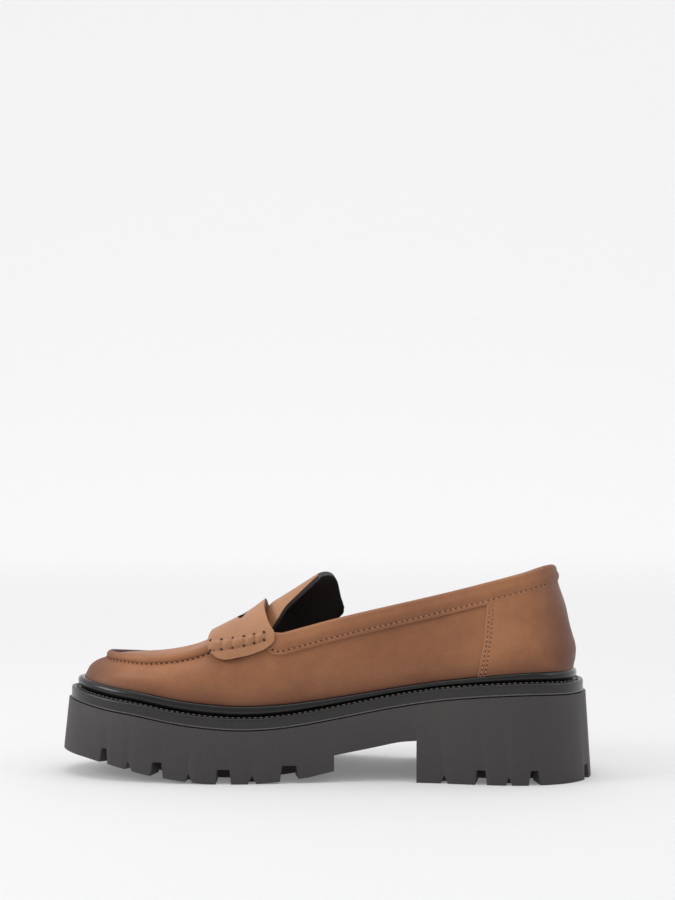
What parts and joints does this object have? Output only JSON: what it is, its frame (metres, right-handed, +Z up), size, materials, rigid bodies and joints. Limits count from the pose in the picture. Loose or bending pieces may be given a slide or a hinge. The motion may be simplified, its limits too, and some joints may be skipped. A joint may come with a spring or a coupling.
{
  "type": "chunky lug sole loafer",
  "caption": "Slip-on leather loafer with a lipped apron, slit saddle strap, padded topline, glossy welt bead and thick lugged sole.",
  "frame": {"origin": "on the floor, under the middle of the shoe's box", "axes": "+X towards the heel, +Z up, -Y towards the medial (inner) side of this right shoe"},
  "size_m": [0.2712, 0.1034, 0.1076],
  "materials": {
    "outsole_rubber": "matte",
    "band_rubber": "satin",
    "bead_gloss": "gloss",
    "upper_leather": "semi-matte",
    "strap_leather": "semi-matte",
    "lining": "matte"
  },
  "bodies": {
    "root": {"outsole": "outsole_rubber", "midsole_band": "band_rubber", "welt_bead": "bead_gloss", "insole": "lining", "upper": "upper_leather", "apron": "upper_leather", "saddle_strap": "strap_leather", "roll_medial": "strap_leather", "roll_lateral": "strap_leather", "tongue": "lining", "collar_band": "upper_leather", "heel_counter": "upper_leather"}
  },
  "joints": []
}
